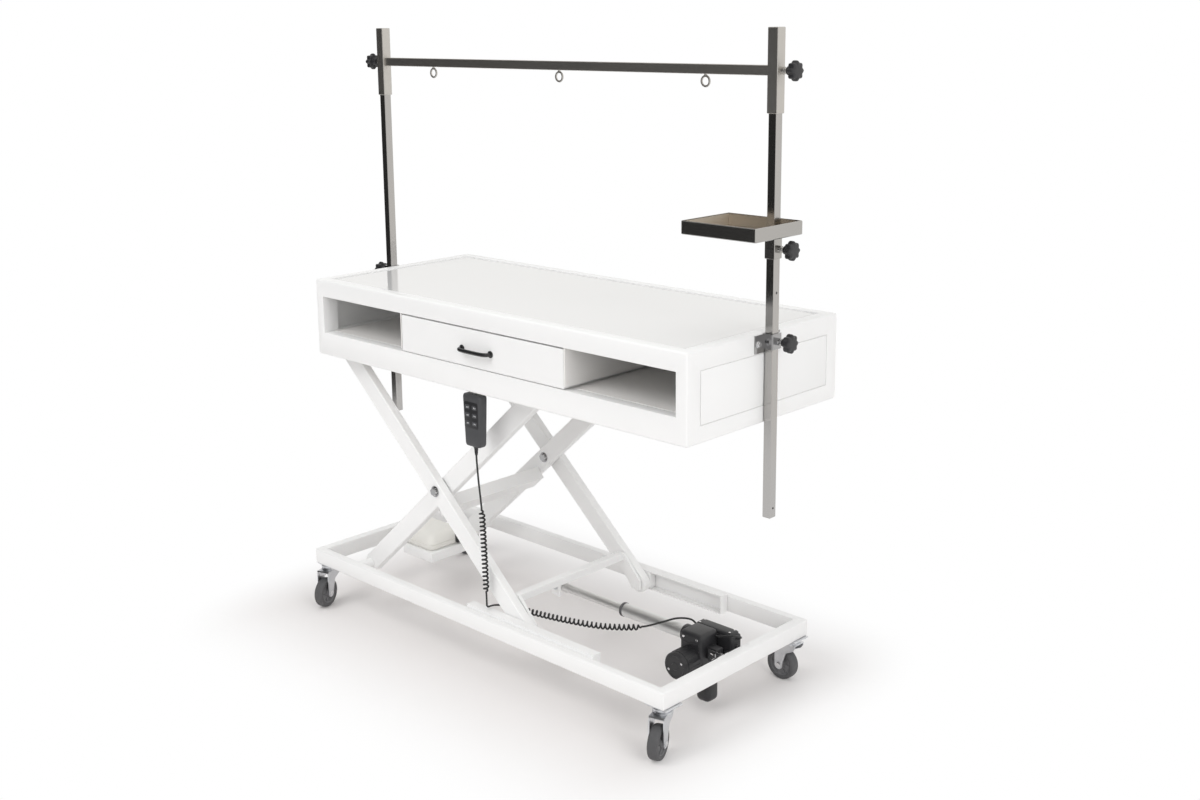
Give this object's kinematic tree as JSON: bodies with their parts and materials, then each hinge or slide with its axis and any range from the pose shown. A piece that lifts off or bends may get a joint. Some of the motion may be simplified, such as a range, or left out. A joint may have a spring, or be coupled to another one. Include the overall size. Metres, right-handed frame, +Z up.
{
  "type": "veterinary x-ray table",
  "caption": "White scissor-lift table on swivel casters with a box top, a drawer, open compartments, a steel gantry with hooks and a tray, and a corded handset.",
  "frame": {"origin": "on the floor, under the middle of the table top", "axes": "+X along the table toward the tray, +Y toward the back, +Z up"},
  "size_m": [1.332, 0.5715, 1.477],
  "materials": {
    "white_paint": "satin",
    "sheet": "gloss",
    "stainless": "polished",
    "zinc": "plated",
    "black_plastic": "matte",
    "dark_plastic": "matte",
    "grey_rubber": "matte",
    "cream_plastic": "satin"
  },
  "bodies": {
    "base": {"base_rail_front": "white_paint", "base_rail_rear": "white_paint", "base_beam_left": "white_paint", "base_beam_right": "white_paint", "guide_front": "white_paint", "guide_rear": "white_paint", "power_box": "cream_plastic", "actuator_housing": "black_plastic", "actuator_tube": "zinc", "actuator_controller": "black_plastic", "actuator_mount": "stainless", "cord_lying": "black_plastic", "cord_hanging": "black_plastic", "motor_lead": "black_plastic"},
    "arms_b": {"arm_b_front": "white_paint", "arm_b_rear": "white_paint", "arm_b_cross": "white_paint"},
    "arms_a": {"arm_a_front": "white_paint", "arm_a_rear": "white_paint"},
    "carriage": {"carriage": "white_paint", "actuator_rod": "stainless"},
    "table": {"table_end_left": "white_paint", "table_end_right": "white_paint", "table_front_top": "white_paint", "table_back": "white_paint", "tabletop": "sheet", "table_front_low": "white_paint", "table_floor": "white_paint", "partition_left": "white_paint", "partition_right": "white_paint", "hanger_front": "white_paint", "hanger_rear": "white_paint", "clamp_left": "stainless", "clamp_right": "stainless", "handset": "dark_plastic"},
    "drawer": {"drawer_box": "white_paint", "drawer_handle": "black_plastic"},
    "gantry": {"post_left": "stainless", "post_right": "stainless"},
    "crossbar": {"crossbar": "stainless"},
    "tray": {"tray": "stainless"},
    "key_1": {"key_1": "dark_plastic"},
    "key_2": {"key_2": "dark_plastic"},
    "key_3": {"key_3": "dark_plastic"},
    "key_4": {"key_4": "dark_plastic"},
    "key_5": {"key_5": "dark_plastic"},
    "key_6": {"key_6": "dark_plastic"},
    "knob_clamp_left": {"knob_clamp_left": "black_plastic"},
    "knob_clamp_right": {"knob_clamp_right": "black_plastic"},
    "knob_bar_left": {"knob_bar_left": "black_plastic"},
    "knob_bar_right": {"knob_bar_right": "black_plastic"},
    "knob_tray": {"knob_tray": "black_plastic"},
    "fork_fl": {"fork_fl": "zinc"},
    "wheel_fl": {"wheel_fl": "grey_rubber"},
    "fork_fr": {"fork_fr": "zinc"},
    "wheel_fr": {"wheel_fr": "grey_rubber"},
    "fork_rl": {"fork_rl": "zinc"},
    "wheel_rl": {"wheel_rl": "grey_rubber"},
    "fork_rr": {"fork_rr": "zinc"},
    "wheel_rr": {"wheel_rr": "grey_rubber"}
  },
  "joints": [
    {"name": "lift", "type": "hinge", "parent": "base", "child": "arms_b", "pos_m": [-0.5187, 0, 0.128], "axis": [0, -1, 0], "range_deg": [-27.8, 0], "deforming": ["cord_hanging"]},
    {"name": "arms_cross", "type": "hinge", "parent": "arms_b", "child": "arms_a", "pos_m": [-0.219, 0, 0.396], "axis": [0, -1, 0], "range_deg": [0, 55.7]},
    {"name": "table_level", "type": "hinge", "parent": "arms_a", "child": "table", "pos_m": [-0.55784, 0, 0.699], "axis": [0, -1, 0], "range_deg": [-27.9, 0]},
    {"name": "carriage_level", "type": "hinge", "parent": "arms_a", "child": "carriage", "pos_m": [0.0807, 0, 0.128], "axis": [0, -1, 0], "range_deg": [-27.9, 0]},
    {"name": "drawer_slide", "type": "slide", "parent": "table", "child": "drawer", "axis": [0, -1, 0], "range_m": [0, 0.28]},
    {"name": "gantry_height", "type": "slide", "parent": "table", "child": "gantry", "axis": [0, 0, 1], "range_m": [-0.05, 0.33]},
    {"name": "crossbar_height", "type": "slide", "parent": "gantry", "child": "crossbar", "axis": [0, 0, 1], "range_m": [0, 0.06]},
    {"name": "tray_height", "type": "slide", "parent": "gantry", "child": "tray", "axis": [0, 0, 1], "range_m": [-0.09, 0.05]},
    {"name": "knob_clamp_left_turn", "type": "hinge", "parent": "table", "child": "knob_clamp_left", "pos_m": [-0.65, 0, 0.856], "axis": [1, 0, 0], "continuous": true},
    {"name": "knob_clamp_right_turn", "type": "hinge", "parent": "table", "child": "knob_clamp_right", "pos_m": [0.65, 0, 0.856], "axis": [1, 0, 0], "continuous": true},
    {"name": "knob_bar_left_turn", "type": "hinge", "parent": "crossbar", "child": "knob_bar_left", "pos_m": [-0.65, 0, 1.394], "axis": [1, 0, 0], "continuous": true},
    {"name": "knob_bar_right_turn", "type": "hinge", "parent": "crossbar", "child": "knob_bar_right", "pos_m": [0.65, 0, 1.394], "axis": [1, 0, 0], "continuous": true},
    {"name": "knob_tray_turn", "type": "hinge", "parent": "tray", "child": "knob_tray", "pos_m": [0.65, 0, 1.044], "axis": [1, 0, 0], "continuous": true},
    {"name": "swivel_fl", "type": "hinge", "parent": "base", "child": "fork_fl", "pos_m": [-0.636, -0.225, 0.1], "axis": [0, 0, 1], "continuous": true},
    {"name": "roll_fl", "type": "hinge", "parent": "fork_fl", "child": "wheel_fl", "pos_m": [-0.62779, -0.24755, 0.0375], "axis": [0.9397, 0.342, 0], "continuous": true},
    {"name": "swivel_fr", "type": "hinge", "parent": "base", "child": "fork_fr", "pos_m": [0.516, -0.225, 0.1], "axis": [0, 0, 1], "continuous": true},
    {"name": "roll_fr", "type": "hinge", "parent": "fork_fr", "child": "wheel_fr", "pos_m": [0.52421, -0.24755, 0.0375], "axis": [0.9397, 0.342, 0], "continuous": true},
    {"name": "swivel_rl", "type": "hinge", "parent": "base", "child": "fork_rl", "pos_m": [-0.636, 0.225, 0.1], "axis": [0, 0, 1], "continuous": true},
    {"name": "roll_rl", "type": "hinge", "parent": "fork_rl", "child": "wheel_rl", "pos_m": [-0.636, 0.249, 0.0375], "axis": [-1, 0, 0], "continuous": true},
    {"name": "swivel_rr", "type": "hinge", "parent": "base", "child": "fork_rr", "pos_m": [0.516, 0.225, 0.1], "axis": [0, 0, 1], "continuous": true},
    {"name": "roll_rr", "type": "hinge", "parent": "fork_rr", "child": "wheel_rr", "pos_m": [0.492, 0.225, 0.0375], "axis": [0, -1, 0], "continuous": true},
    {"name": "press_key_1", "type": "slide", "parent": "table", "child": "key_1", "axis": [0, 1, 0], "range_m": [0, 0.0008], "stiffness_N_per_m": 2500},
    {"name": "press_key_2", "type": "slide", "parent": "table", "child": "key_2", "axis": [0, 1, 0], "range_m": [0, 0.0008], "stiffness_N_per_m": 2500},
    {"name": "press_key_3", "type": "slide", "parent": "table", "child": "key_3", "axis": [0, 1, 0], "range_m": [0, 0.0008], "stiffness_N_per_m": 2500},
    {"name": "press_key_4", "type": "slide", "parent": "table", "child": "key_4", "axis": [0, 1, 0], "range_m": [0, 0.0008], "stiffness_N_per_m": 2500},
    {"name": "press_key_5", "type": "slide", "parent": "table", "child": "key_5", "axis": [0, 1, 0], "range_m": [0, 0.0008], "stiffness_N_per_m": 2500},
    {"name": "press_key_6", "type": "slide", "parent": "table", "child": "key_6", "axis": [0, 1, 0], "range_m": [0, 0.0008], "stiffness_N_per_m": 2500}
  ],
  "couplings": [
    {"joint": "arms_cross", "follows": "lift", "ratio": -2},
    {"joint": "table_level", "follows": "lift", "ratio": 1},
    {"joint": "carriage_level", "follows": "lift", "ratio": 1}
  ]
}
